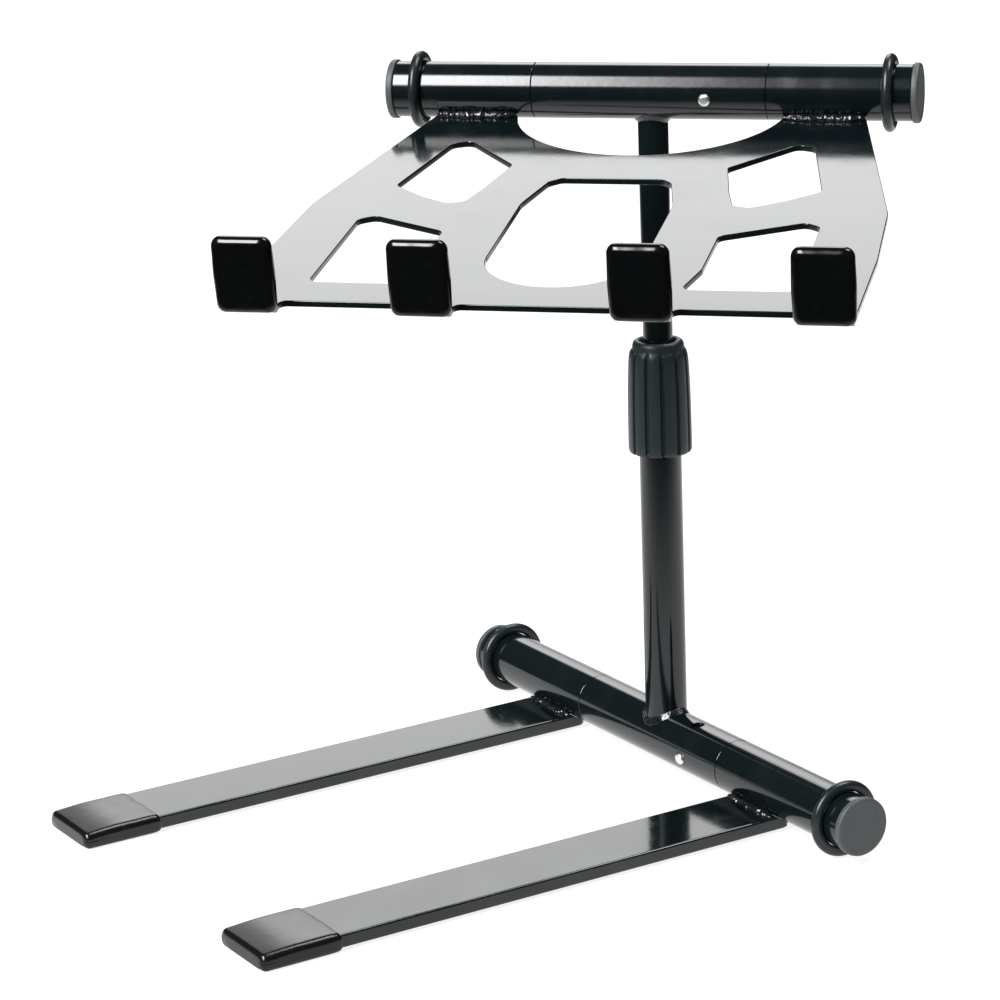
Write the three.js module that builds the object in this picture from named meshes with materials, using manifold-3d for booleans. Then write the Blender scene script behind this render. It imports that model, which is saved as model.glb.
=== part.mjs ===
// Folding laptop stand for a DJ desk: two flat legs, a height-adjustable mast, and a tray that
// tilts and swivels.
// Millimetres, +Z up, floor at Z = 0. The base tube runs along X and the legs reach towards -Y.
import * as THREE from 'three';
import Module from 'manifold-3d';
import { mergeVertices } from 'three/addons/utils/BufferGeometryUtils.js';

const wasm = await Module();
wasm.setup();

// ---- Driving dimensions -------------------------------------------------------------------------
const GAP = 0.3;                 // clearance kept between neighbouring pieces

const TUBE_R = 14.3;             // cross tubes, 28.6 mm outside
const TUBE_WALL = 1.5;
const CORE_R = TUBE_R - TUBE_WALL - GAP;   // inner tube that the centre sleeve turns on
const CORE_WALL = 1.5;
const RING_SECTION_R = 2.65;     // rubber O-rings
const RING_R = TUBE_R + 0.2 + RING_SECTION_R;
const BASE_Z = RING_R + RING_SECTION_R;    // base tube axis: the rings stand on the floor

const BASE_SLEEVE_HALF = 65;     // seam between sleeve and end tubes
const BASE_RING_X = 157.5;
const BASE_END_X = 173.5;        // outer face of the end caps
const TOP_SLEEVE_HALF = 60.5;
const TOP_RING_X = 122;
const TOP_END_X = 137.5;
const TOP_Z = 367.4;             // top tube axis
const CORE_OVERLAP = 34;         // how far each core reaches into the end tubes

const CAP_FLANGE_R = 15.2;
const CAP_FLANGE = 3.5;
const CAP_PLUG = 13;

const LEG_LEFT_X = -100.2;       // the legs sit a little to the left of the mast
const LEG_RIGHT_X = 92.4;
const LEG_WIDTH = 41;
const LEG_THICK = 7.2;
const LEG_TOP_Z = BASE_Z - 11.4;
const LEG_FRONT_Y = -306.3;
const LEG_REAR_Y = 0;
const TIP_REAR_Y = -264.8;
const TIP_RUBBER = 1.5;

const POST_R = 11.1;             // lower post
const POST_WALL = 1.4;
const POST_TOP_Z = 215.7;
const STEM_R = 7.8;              // sliding upper post
const STEM_WALL = 1.3;
const STEM_LOW_Z = 150.3;
const WELD = 3.2;                // reach of a weld bead

const COLLAR_LOW_Z = 177;
const COLLAR_TOP_Z = 237;
const COLLAR_R = 16.7;
const COLLAR_NECK = 4.6;         // height of the plain neck above the ribs
const COLLAR_LIP_BORE = 8.6;
const COLLAR_RIBS = 12;

const BUSH_LOW_Z = 186;          // threaded bush fixed round the top of the lower post
const BUSH_HIGH_Z = 215;
const BUSH_R = 12.5;
const THREAD_CREST_R = 13.2;
const THREAD_PITCH = 6;
const COLLET_LOW_Z = 204;
const COLLET_SHOULDER_R = 13.1;
const COLLET_CONE_Z = 219.4;     // the cone that the collar squeezes
const COLLET_NOSE_Z = 227.8;
const COLLET_NOSE_R = 9.8;
const COLLET_TOP_Z = 232;
const COLLET_SLOT = 1.6;

const BUTTON_X = 33;             // snap button places along the two sleeves
const TOP_BUTTON_X = 29.4;
const BUTTON_R = 3.15;
const HOLE_R = 3.5;
const BUTTON_PROUD = 1.7;
const SLOT_SPARE = 19;           // degrees of slot past the stem's axis at each end of its travel
const FOLD_TRAVEL = Math.PI / 2;
const TILT_UP = THREE.MathUtils.degToRad(28.5);
const TILT_DOWN = THREE.MathUtils.degToRad(50);
const BUTTON_FLANGE_R = 4.4;
const BUTTON_BACK = 7.9;         // back of the flange, from the tube axis
const BUTTON_FLANGE = 1.3;
const SPRING_THICK = 0.6;
const SPRING_WIDTH = 6;
const SPRING_REACH = 34;         // from the button's axis to the bend of the leaf
const SPRING_FAR = 9;            // the far arm, below the tube axis

const SWIVEL = THREE.MathUtils.degToRad(44.5);   // the head is turned on the mast
const TILT = THREE.MathUtils.degToRad(8.5);      // the tray slopes down to its front

const PLATE_THICK = 3;
const PLATE_TOP = -10;           // plate top face below the tube axis, in the tray's own frame
const TAB_EDGE = 10.7;           // rear edge of the welded tabs, just clear of the tube
const PLATE_FRONT = 270.5;
const HOOK_X = [-131.5, -50, 50, 131.5];
const TONGUE_WIDTH = 25;
const TONGUE_FACE = 282;       // outer face of the upright tongue
const TONGUE_TOP = 32.2;
const BEND_R = 2;                // inner bend radius
const COVER_WIDTH = 29;
const COVER_LOW = -1.2;
const COVER_TOP = 34.6;
const COVER_WALL = 1.9;
const TAB_X = 89.8;              // middle of each welded tab
const TRAY_WELD_LENGTH = 40;
const TRAY_WELD_RUN = 5.5;       // how far the bead reaches over the plate
const TRAY_WELD_RISE = 5;
const REAR_ARC_R = 69.6;
const MIDDLE_HALF = 37;          // middle window
const MIDDLE_REAR = 104;
const MIDDLE_ARC = 210;          // centre of its round front

// ---- Materials ----------------------------------------------------------------------------------
function finish(color, roughness, metalness) {
  return new THREE.MeshStandardMaterial({ color, roughness, metalness });
}

const paint = finish(0x0b0e10, 0.12, 0.3);
const weld = finish(0x0d1011, 0.3, 0.3);
const rubber = finish(0x0b0c0d, 0.6, 0);
const dipped = finish(0x050607, 0.15, 0);
const capPlastic = finish(0x34373a, 0.6, 0);
const gripPlastic = finish(0x23292c, 0.5, 0);
const innerPlastic = finish(0x15181a, 0.5, 0);
const bareSteel = finish(0xc9c9c6, 0.25, 1);

// ---- Geometry helpers ---------------------------------------------------------------------------
function signedVolume(geometry) {
  const p = geometry.attributes.position;
  const order = geometry.index.array;
  const corner = (i) => new THREE.Vector3().fromBufferAttribute(p, order[i]);
  let sum = 0;
  for (let i = 0; i < order.length; i += 3) {
    sum += corner(i).dot(corner(i + 1).cross(corner(i + 2)));
  }
  return sum / 6;
}

// Welds the shared vertices and turns the faces outwards.
function closed(source) {
  source.deleteAttribute('normal');
  source.deleteAttribute('uv');
  const geometry = mergeVertices(source, 1e-4);
  const kept = [];
  const order = geometry.index.array;
  for (let i = 0; i < order.length; i += 3) {
    const [a, b, c] = [order[i], order[i + 1], order[i + 2]];
    if (a !== b && b !== c && c !== a) kept.push(a, b, c);
  }
  geometry.setIndex(kept);
  if (signedVolume(geometry) < 0) {
    for (let i = 0; i < kept.length; i += 3) [kept[i], kept[i + 1]] = [kept[i + 1], kept[i]];
    geometry.setIndex(kept);
  }
  return geometry;
}

function solid(source) {
  const geometry = closed(source);
  const vertProperties = new Float32Array(geometry.attributes.position.array);
  const triVerts = new Uint32Array(geometry.index.array);
  return new wasm.Manifold(new wasm.Mesh({ numProp: 3, vertProperties, triVerts }));
}

function shell(manifold) {
  const mesh = manifold.getMesh();
  const geometry = new THREE.BufferGeometry();
  geometry.setAttribute('position', new THREE.BufferAttribute(new Float32Array(mesh.vertProperties), 3));
  geometry.setIndex(new THREE.BufferAttribute(new Uint32Array(mesh.triVerts), 1));
  return geometry;
}

// Turns a profile of [radius, axial] points about X or Z.
function turned(profile, axis = 'z', segments = 24) {
  const geometry = new THREE.LatheGeometry(profile.map(([r, a]) => new THREE.Vector2(r, a)), segments);
  if (axis === 'x') return geometry.rotateZ(-Math.PI / 2);
  return geometry.rotateX(Math.PI / 2);
}

function pipeProfile(outer, inner, low, high) {
  return [[inner, low], [outer, low], [outer, high], [inner, high], [inner, low]];
}

function barProfile(radius, low, high) {
  return [[0, low], [radius, low], [radius, high], [0, high]];
}

// An outline from [x, y, corner radius] points, with a round at each corner. It runs anticlockwise.
function rounded(given, path = new THREE.Shape()) {
  const flat = given.map(([x, y]) => new THREE.Vector2(x, y));
  const points = THREE.ShapeUtils.area(flat) < 0 ? [...given].reverse() : given;
  points.forEach(([x, y, r], i) => {
    const before = points[(i + points.length - 1) % points.length];
    const after = points[(i + 1) % points.length];
    const corner = new THREE.Vector2(x, y);
    const back = new THREE.Vector2(before[0], before[1]).sub(corner);
    const ahead = new THREE.Vector2(after[0], after[1]).sub(corner);
    const reach = Math.min(r, back.length() * 0.48, ahead.length() * 0.48);
    const enter = corner.clone().add(back.setLength(reach));
    const leave = corner.clone().add(ahead.setLength(reach));
    if (i === 0) path.moveTo(enter.x, enter.y);
    else path.lineTo(enter.x, enter.y);
    path.quadraticCurveTo(x, y, leave.x, leave.y);
  });
  path.closePath();
  return path;
}

function mirrored(points) {
  return points.map(([x, y, r]) => [-x, y, r]).reverse();
}

function extruded(shape, depth, bevel = 0, curveSegments = 3) {
  const geometry = new THREE.ExtrudeGeometry(shape, {
    depth: depth - 2 * bevel,
    curveSegments,
    bevelEnabled: bevel > 0,
    bevelThickness: bevel,
    bevelSize: bevel,
    bevelOffset: -bevel,
    bevelSegments: 2,
  });
  return geometry.translate(0, 0, bevel);
}

// ---- Pieces shared by the base and the head -----------------------------------------------------
// A radial cutter for a snap-button hole; angle is measured from -Y, positive upwards.
function radialCutter(x, angle) {
  const cutter = new THREE.CylinderGeometry(HOLE_R, HOLE_R, 10, 16);
  cutter.translate(0, -TUBE_R, 0);
  return solid(cutter.rotateX(-angle).translate(x, 0, 0));
}

function sleeve(half, holes) {
  let body = solid(turned(pipeProfile(TUBE_R, TUBE_R - TUBE_WALL, -half, half), 'x', 36));
  holes.forEach(([x, angle]) => {
    body = body.subtract(radialCutter(x, angle));
  });
  return shell(body);
}

// Cuts a slot round the inner tube, in which the button's stem travels; angles as for a hole.
function slotCutter(x, low, high) {
  const spare = THREE.MathUtils.degToRad(SLOT_SPARE);
  const sector = new THREE.Shape();
  sector.absarc(0, 0, CORE_R + 2, low - spare, high + spare, false);
  sector.absarc(0, 0, CORE_R - CORE_WALL - 2, high + spare, low - spare, true);
  sector.closePath();
  const geometry = extruded(sector, 2 * HOLE_R, 0, 10).translate(0, 0, -HOLE_R);
  const turn = new THREE.Matrix4().makeBasis(
    new THREE.Vector3(0, -1, 0),
    new THREE.Vector3(0, 0, 1),
    new THREE.Vector3(1, 0, 0),
  );
  return solid(geometry.applyMatrix4(turn).translate(x, 0, 0));
}

function core(half, x, slotLow, slotHigh) {
  const reach = half + CORE_OVERLAP;
  const tube = solid(turned(pipeProfile(CORE_R, CORE_R - CORE_WALL, -reach, reach), 'x', 36));
  return shell(tube.subtract(slotCutter(x, slotLow, slotHigh)));
}

function endTube(side, from, to) {
  const [low, high] = side < 0 ? [-to, -from] : [from, to];
  return closed(turned(pipeProfile(TUBE_R, TUBE_R - TUBE_WALL, low, high), 'x', 36));
}

function endCap(side, outerFace) {
  const inner = outerFace - CAP_FLANGE;
  const profile = [
    [0, outerFace], [CAP_FLANGE_R - 2.2, outerFace - 0.15], [CAP_FLANGE_R - 0.6, outerFace - 0.8],
    [CAP_FLANGE_R, outerFace - 1.8], [CAP_FLANGE_R, inner], [CORE_R, inner],
    [CORE_R - 0.4, inner - CAP_PLUG], [CORE_R - 2.4, inner - CAP_PLUG], [CORE_R - 2.4, inner], [0, inner],
  ];
  return closed(turned(profile.map(([r, a]) => [r, a * side]), 'x'));
}

function ringSeal(x) {
  const geometry = new THREE.TorusGeometry(RING_R, RING_SECTION_R, 8, 28);
  return closed(geometry.rotateY(Math.PI / 2).translate(x, 0, 0));
}

// Domed button along -Y with a retaining flange inside the core.
function snapButton() {
  const tip = TUBE_R + BUTTON_PROUD;
  const front = BUTTON_BACK + BUTTON_FLANGE;
  const profile = [
    [0, BUTTON_BACK], [BUTTON_FLANGE_R, BUTTON_BACK], [BUTTON_FLANGE_R, front], [BUTTON_R, front],
    [BUTTON_R, tip - 1.7],
    [BUTTON_R * 0.86, tip - 0.8], [BUTTON_R * 0.5, tip - 0.2], [0, tip],
  ];
  return closed(turned(profile, 'z', 16).rotateX(Math.PI / 2));
}

// V-shaped leaf inside the core: one arm under the button, the other on the far wall.
function leafSpring() {
  const t = SPRING_THICK;
  const near = BUTTON_BACK - GAP - 0.1;
  const far = -SPRING_FAR;
  const bend = SPRING_REACH;
  const leaf = new THREE.Shape();
  leaf.moveTo(-6, near);
  leaf.lineTo(8, near);
  leaf.quadraticCurveTo(bend - 4, 5, bend, 0);
  leaf.quadraticCurveTo(bend - 4, -6.5, 8, far);
  leaf.lineTo(-10, far);
  leaf.lineTo(-10, far + t);
  leaf.lineTo(8, far + t);
  leaf.quadraticCurveTo(bend - 4.6, -6.3, bend - t, 0);
  leaf.quadraticCurveTo(bend - 4.6, 4.8, 8, near - t);
  leaf.lineTo(-6, near - t);
  leaf.closePath();
  return closed(extruded(leaf, SPRING_WIDTH).translate(0, 0, -SPRING_WIDTH / 2).rotateX(Math.PI / 2));
}

// The part of a post's weld that hugs the cross tube along X at height tubeZ.
function saddleWeld(innerR, outerR, lowZ, highZ, tubeZ) {
  const ring = solid(turned(pipeProfile(outerR, innerR, lowZ, highZ)));
  const outside = solid(turned(barProfile(TUBE_R + WELD, -30, 30), 'x', 36).translate(0, 0, tubeZ));
  return shell(ring.intersect(outside).subtract(tubeCutter(tubeZ)));
}

function tubeCutter(z, half = 60) {
  return solid(turned(barProfile(TUBE_R + GAP, -half, half), 'x', 36).translate(0, 0, z));
}

// ---- Base ---------------------------------------------------------------------------------------
function leg(x) {
  const half = LEG_WIDTH / 2;
  const outline = rounded([
    [x - half, LEG_FRONT_Y, 3], [x + half, LEG_FRONT_Y, 3],
    [x + half, LEG_REAR_Y, 5], [x - half, LEG_REAR_Y, 5],
  ]);
  const bar = solid(extruded(outline, LEG_THICK, 0.6).translate(0, 0, LEG_TOP_Z - LEG_THICK));
  return shell(bar.subtract(tubeCutter(BASE_Z, 160)));
}

function legTip(x) {
  const half = LEG_WIDTH / 2 + TIP_RUBBER + GAP;
  const height = LEG_TOP_Z + TIP_RUBBER;
  const front = LEG_FRONT_Y - TIP_RUBBER - GAP;
  const outline = rounded([
    [x - half, front, 5], [x + half, front, 5], [x + half, TIP_REAR_Y, 3.5], [x - half, TIP_REAR_Y, 3.5],
  ]);
  const block = solid(extruded(outline, height, 1.2));
  const inside = LEG_WIDTH / 2 + GAP;
  const pocketOutline = rounded([
    [x - inside, LEG_FRONT_Y - GAP, 3], [x + inside, LEG_FRONT_Y - GAP, 3],
    [x + inside, TIP_REAR_Y + 5, 0.5], [x - inside, TIP_REAR_Y + 5, 0.5],
  ]);
  const pocketLow = LEG_TOP_Z - LEG_THICK - GAP;
  const pocket = solid(extruded(pocketOutline, LEG_THICK + 2 * GAP).translate(0, 0, pocketLow));
  return shell(block.subtract(pocket));
}

// Fillet bead between the tube's front and the leg's top face.
function legWeld(x) {
  const half = LEG_WIDTH / 2 - 1;
  const z = LEG_TOP_Z + GAP;
  const fillet = new THREE.Shape();
  fillet.moveTo(-6, z);
  fillet.lineTo(-13.2, z);
  fillet.quadraticCurveTo(-12.8, z + 2.4, -11.4, z + 3.6);
  fillet.lineTo(-6, z + 3.6);
  fillet.closePath();
  const geometry = extruded(fillet, 2 * half).rotateX(Math.PI / 2).rotateZ(Math.PI / 2);
  const bead = solid(geometry.translate(x - half, 0, 0));
  return shell(bead.subtract(tubeCutter(BASE_Z, 160)));
}

// ---- Mast ---------------------------------------------------------------------------------------
function lowerPost() {
  const pipe = solid(turned(pipeProfile(POST_R, POST_R - POST_WALL, BASE_Z, POST_TOP_Z)));
  return shell(pipe.subtract(tubeCutter(BASE_Z)));
}

function threadBush() {
  const inner = POST_R + GAP;
  const profile = [[inner, BUSH_LOW_Z], [BUSH_R, BUSH_LOW_Z]];
  const ramp = THREAD_PITCH / 4;
  for (let z = BUSH_LOW_Z + 4; z + 2 * ramp < BUSH_HIGH_Z; z += THREAD_PITCH) {
    profile.push([BUSH_R, z], [THREAD_CREST_R, z + ramp], [BUSH_R, z + 2 * ramp]);
  }
  profile.push([BUSH_R, BUSH_HIGH_Z], [inner, BUSH_HIGH_Z], [inner, BUSH_LOW_Z]);
  return closed(turned(profile));
}

// Split sleeve seated on the lower post: its skirt goes inside the post and its cone stands above.
function collet() {
  const inner = STEM_R + GAP;
  const skirt = POST_R - POST_WALL - GAP;
  const seat = POST_TOP_Z + GAP;
  const profile = [
    [inner, COLLET_LOW_Z], [skirt, COLLET_LOW_Z], [skirt, seat], [COLLET_SHOULDER_R, seat],
    [COLLET_SHOULDER_R, COLLET_CONE_Z], [COLLET_NOSE_R, COLLET_NOSE_Z], [COLLET_NOSE_R, COLLET_TOP_Z],
    [inner, COLLET_TOP_Z], [inner, COLLET_LOW_Z],
  ];
  let body = solid(turned(profile));
  for (const turn of [0, Math.PI / 2]) {
    const slot = new THREE.BoxGeometry(40, COLLET_SLOT, 20).rotateZ(turn).translate(0, 0, COLLET_TOP_Z);
    body = body.subtract(solid(slot));
  }
  return shell(body);
}

function collarOutline() {
  const flank = COLLAR_R - 0.2;
  const groove = COLLAR_R - 1.45;
  const oneRib = [[-11.6, flank], [0, COLLAR_R], [11.6, flank], [15, groove]];
  const outline = [];
  for (let rib = 0; rib < COLLAR_RIBS; rib += 1) {
    for (const [turn, radius] of oneRib) {
      const angle = (rib * 2 * Math.PI) / COLLAR_RIBS + THREE.MathUtils.degToRad(turn);
      outline.push(new THREE.Vector2(radius * Math.cos(angle), radius * Math.sin(angle)));
    }
  }
  return new THREE.Shape(outline);
}

// Ribbed grip with a plain neck; its bore clears the thread and closes in over the collet's cone.
function lockingCollar() {
  const low = COLLAR_LOW_Z;
  const shoulder = COLLAR_TOP_Z - COLLAR_NECK;
  const ribs = solid(extruded(collarOutline(), shoulder - low).translate(0, 0, low));
  const envelope = solid(turned([
    [0, low - 1], [COLLAR_R + 0.4, low - 1], [16.3, low + 36], [15.7, shoulder - 5], [14.9, shoulder],
    [0, shoulder + 1],
  ]));
  const neck = solid(turned([
    [0, low + 1], [14, low + 1], [13.6, shoulder + 1], [13.5, COLLAR_TOP_Z - 2],
    [12.7, COLLAR_TOP_Z - 0.6], [11.3, COLLAR_TOP_Z], [0, COLLAR_TOP_Z],
  ]));
  const wide = THREAD_CREST_R + 0.4;
  const narrow = COLLET_NOSE_R + 0.4;
  const bore = solid(turned([
    [0, low - 2], [wide, low - 2], [wide, COLLET_CONE_Z + 0.2], [narrow, COLLET_NOSE_Z + 0.4],
    [narrow, COLLET_TOP_Z + 0.4], [COLLAR_LIP_BORE, COLLET_TOP_Z + 2], [COLLAR_LIP_BORE, COLLAR_TOP_Z + 1],
    [0, COLLAR_TOP_Z + 1],
  ]));
  return shell(ribs.intersect(envelope).add(neck).subtract(bore));
}

// Cup pressed on the foot of the upper post; it slides inside the lower post.
function guideBush() {
  const outer = POST_R - POST_WALL - GAP;
  const seat = STEM_LOW_Z - GAP;
  const hole = 5;
  const floor = seat - 4;
  const rim = seat + 14;
  const profile = [
    [hole, floor], [outer, floor], [outer, rim], [STEM_R + GAP, rim], [STEM_R + GAP, seat],
    [hole, seat], [hole, floor],
  ];
  return closed(turned(profile));
}

// ---- Head ---------------------------------------------------------------------------------------
function upperPost() {
  const pipe = solid(turned(pipeProfile(STEM_R, STEM_R - STEM_WALL, STEM_LOW_Z, TOP_Z)));
  return shell(pipe.subtract(tubeCutter(TOP_Z)));
}

// ---- Tray, in its own frame: tube axis at the origin, front towards -Y ---------------------------
function flipped(points) {
  return points.map(([x, front, r]) => [x, -front, r]);
}

// Half of the outline from the rear tab to the middle of the front edge; the outer tongue is flush
// with the side, and each tongue's root flares into the front edge.
function plateOutline() {
  const [inner, outer] = [HOOK_X[2], HOOK_X[3]];
  const half = TONGUE_WIDTH / 2;
  const root = PLATE_FRONT + 5;
  const right = [
    [111, TAB_EDGE, 2], [140.5, 145, 14], [outer + half, 205, 14], [outer + half, root, 0.1],
    [outer - half, root, 1], [outer - half - 5, PLATE_FRONT, 4],
    [inner + half + 5, PLATE_FRONT, 4], [inner + half, root, 1],
    [inner - half, root, 1], [inner - half - 5, PLATE_FRONT, 4],
  ];
  return rounded(flipped([...right, ...mirrored(right)]));
}

const windows = {
  upper: [
    [83, 51.5, 5], [92, 55, 5], [105, 117.5, 5], [89, 131.5, 4], [74, 141, 5], [65.5, 138, 5], [61, 121, 6],
    [54, 86, 5],
  ],
  lower: [
    [104, 160, 5], [111.5, 165, 5], [113, 246.5, 5], [61, 246.8, 4], [66.3, 221, 8], [66.3, 179, 5],
  ],
};

function middleWindow() {
  const path = new THREE.Path();
  const rear = -MIDDLE_REAR;
  const arc = -MIDDLE_ARC;
  path.moveTo(-25, rear);
  path.lineTo(25, rear);
  path.quadraticCurveTo(29, rear, 30.3, rear - 5);
  path.quadraticCurveTo(MIDDLE_HALF, rear - 26, MIDDLE_HALF, rear - 46);
  path.lineTo(MIDDLE_HALF, arc);
  path.absarc(0, arc, MIDDLE_HALF, 0, -Math.PI, true);
  path.lineTo(-MIDDLE_HALF, rear - 46);
  path.quadraticCurveTo(-MIDDLE_HALF, rear - 26, -30.3, rear - 5);
  path.quadraticCurveTo(-29, rear, -25, rear);
  return path;
}

// The upturned tongue's side view, grown all round for the pocket in its rubber cover.
function tongueProfile(grow = 0) {
  const face = TONGUE_FACE + grow;
  const back = TONGUE_FACE - PLATE_THICK - grow;
  const bendY = TONGUE_FACE - PLATE_THICK - BEND_R;
  const low = -PLATE_THICK - grow;
  const high = TONGUE_TOP + grow;
  const shape = new THREE.Shape();
  shape.moveTo(PLATE_FRONT + 2, low);
  shape.lineTo(bendY, low);
  shape.absarc(bendY, BEND_R, BEND_R + PLATE_THICK + grow, -Math.PI / 2, 0, false);
  shape.lineTo(face, high);
  shape.lineTo(back, high);
  shape.absarc(bendY, BEND_R, BEND_R - grow, 0, -Math.PI / 2, true);
  shape.lineTo(PLATE_FRONT + 2, grow);
  shape.closePath();
  return shape;
}

// Extruded across the tray, with the profile's first axis pointing to the front.
function tongue(x, grow = 0) {
  const width = TONGUE_WIDTH + 2 * grow;
  const geometry = extruded(tongueProfile(grow), width, 0, 4).translate(0, 0, -width / 2);
  geometry.rotateX(Math.PI / 2).rotateZ(-Math.PI / 2);
  return solid(geometry.translate(x, 0, PLATE_TOP));
}

function trayPlate() {
  const outline = plateOutline();
  outline.holes.push(middleWindow());
  for (const points of Object.values(windows)) {
    outline.holes.push(rounded(flipped(points), new THREE.Path()));
    outline.holes.push(rounded(flipped(mirrored(points)), new THREE.Path()));
  }
  let plate = solid(extruded(outline, PLATE_THICK).translate(0, 0, PLATE_TOP - PLATE_THICK));
  const rearCut = new THREE.CylinderGeometry(REAR_ARC_R, REAR_ARC_R, 40, 48).rotateX(Math.PI / 2);
  plate = plate.subtract(solid(rearCut));
  HOOK_X.forEach((x) => {
    plate = plate.add(tongue(x));
  });
  return shell(plate);
}

function hookCover(x) {
  const half = COVER_WIDTH / 2;
  const depth = PLATE_THICK + 2 * (GAP + COVER_WALL);
  const face = rounded([
    [x - half, COVER_LOW, 5], [x + half, COVER_LOW, 5], [x + half, COVER_TOP, 6], [x - half, COVER_TOP, 6],
  ]);
  const block = extruded(face, depth, 1.2).rotateX(Math.PI / 2);
  block.translate(0, depth / 2 - (TONGUE_FACE - PLATE_THICK / 2), PLATE_TOP);
  return shell(solid(block).subtract(tongue(x, GAP)));
}

// Bead on top of one tab, in the corner under the tube.
function trayWeld(side) {
  const low = PLATE_TOP + GAP;
  const high = PLATE_TOP + TRAY_WELD_RISE;
  const inside = TAB_EDGE - 1;
  const run = TAB_EDGE + TRAY_WELD_RUN;
  const bead = new THREE.Shape();
  bead.moveTo(inside, low);
  bead.lineTo(run, low);
  bead.quadraticCurveTo(run - 0.3, high - 1.6, run - 1.9, high);
  bead.lineTo(inside, high);
  bead.closePath();
  const geometry = extruded(bead, TRAY_WELD_LENGTH).translate(0, 0, -TRAY_WELD_LENGTH / 2);
  geometry.rotateX(Math.PI / 2).rotateZ(-Math.PI / 2).translate(side * TAB_X, 0, 0);
  return shell(solid(geometry).subtract(tubeCutter(0, 160)));
}

// ---- Assembly -----------------------------------------------------------------------------------
const group = new THREE.Group();

function place(parent, name, geometry, material, position = [0, 0, 0], turnX = 0) {
  const mesh = new THREE.Mesh(geometry, material);
  mesh.name = name;
  mesh.position.set(...position);
  mesh.rotation.x = turnX;
  parent.add(mesh);
}

// The inner tube, end tubes, caps and rings that the centre sleeve turns on.
function crossTube(parent, prefix, z, sleeveHalf, ringX, endX) {
  for (const [side, word] of [[-1, 'left'], [1, 'right']]) {
    const outer = endX - CAP_FLANGE - GAP;
    place(parent, `${prefix}_end_tube_${word}`, endTube(side, sleeveHalf + GAP, outer), paint, [0, 0, z]);
    place(parent, `${prefix}_end_cap_${word}`, endCap(side, endX), capPlastic, [0, 0, z]);
    place(parent, `${prefix}_rubber_ring_${word}`, ringSeal(side * ringX), rubber, [0, 0, z]);
  }
}

// The snap button turns with its sleeve, and its stem travels in the inner tube's slot.
function buttonSet(parent, prefix, x, z) {
  place(parent, `${prefix}_snap_button`, snapButton(), bareSteel, [x, 0, z], TILT);
  place(parent, `${prefix}_button_spring`, leafSpring(), bareSteel, [x, 0, z], TILT);
}

const base = new THREE.Group();
const baseCore = core(BASE_SLEEVE_HALF, BUTTON_X, -TILT - FOLD_TRAVEL, -TILT);
place(base, 'base_inner_tube', baseCore, paint, [0, 0, BASE_Z]);
crossTube(base, 'base', BASE_Z, BASE_SLEEVE_HALF, BASE_RING_X, BASE_END_X);
for (const [x, word] of [[LEG_LEFT_X, 'left'], [LEG_RIGHT_X, 'right']]) {
  place(base, `leg_${word}`, leg(x), paint);
  place(base, `leg_tip_${word}`, legTip(x), dipped);
  place(base, `leg_weld_${word}`, legWeld(x), weld);
}

const mast = new THREE.Group();
const baseHoles = [[BUTTON_X, -TILT], [BUTTON_X, Math.PI / 2 - TILT]];
place(mast, 'base_centre_sleeve', sleeve(BASE_SLEEVE_HALF, baseHoles), paint, [0, 0, BASE_Z]);
buttonSet(mast, 'base', BUTTON_X, BASE_Z);
place(mast, 'lower_post', lowerPost(), paint);
place(mast, 'lower_post_weld', saddleWeld(POST_R + GAP, POST_R + WELD, BASE_Z, BASE_Z + 18, BASE_Z), weld);
place(mast, 'thread_bush', threadBush(), innerPlastic);
place(mast, 'split_collet', collet(), innerPlastic);
place(mast, 'locking_collar', lockingCollar(), gripPlastic);
place(mast, 'guide_bush', guideBush(), innerPlastic);

const head = new THREE.Group();
head.rotation.z = SWIVEL;
place(head, 'upper_post', upperPost(), paint);
place(head, 'upper_post_weld', saddleWeld(STEM_R + GAP, STEM_R + WELD, TOP_Z - 19, TOP_Z, TOP_Z), weld);
place(head, 'top_centre_sleeve', sleeve(TOP_SLEEVE_HALF, [[TOP_BUTTON_X, -TILT]]), paint, [0, 0, TOP_Z]);
buttonSet(head, 'top', TOP_BUTTON_X, TOP_Z);

const tray = new THREE.Group();
tray.position.z = TOP_Z;
tray.rotation.x = TILT;
place(tray, 'top_inner_tube', core(TOP_SLEEVE_HALF, TOP_BUTTON_X, -TILT_UP, TILT_DOWN), paint);
crossTube(tray, 'top', 0, TOP_SLEEVE_HALF, TOP_RING_X, TOP_END_X);
place(tray, 'tray_plate', trayPlate(), paint);
HOOK_X.forEach((x, i) => place(tray, `hook_cover_${i + 1}`, hookCover(x), dipped));
place(tray, 'tray_weld_left', trayWeld(-1), weld);
place(tray, 'tray_weld_right', trayWeld(1), weld);
head.add(tray);

const stand = new THREE.Group();
stand.add(base, mast, head);
group.add(stand);

// The origin is on the floor at the middle of the whole footprint.
group.updateMatrixWorld(true);
const footprint = new THREE.Box3().setFromObject(stand, true);
const middle = footprint.getCenter(new THREE.Vector3());
stand.position.set(-middle.x, -middle.y, -footprint.min.z);

export default group;
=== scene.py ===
"""Folding laptop stand: smooth painted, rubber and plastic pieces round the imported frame."""
import math
import bpy
import bmesh
from mathutils import Matrix, Vector, noise


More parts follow.
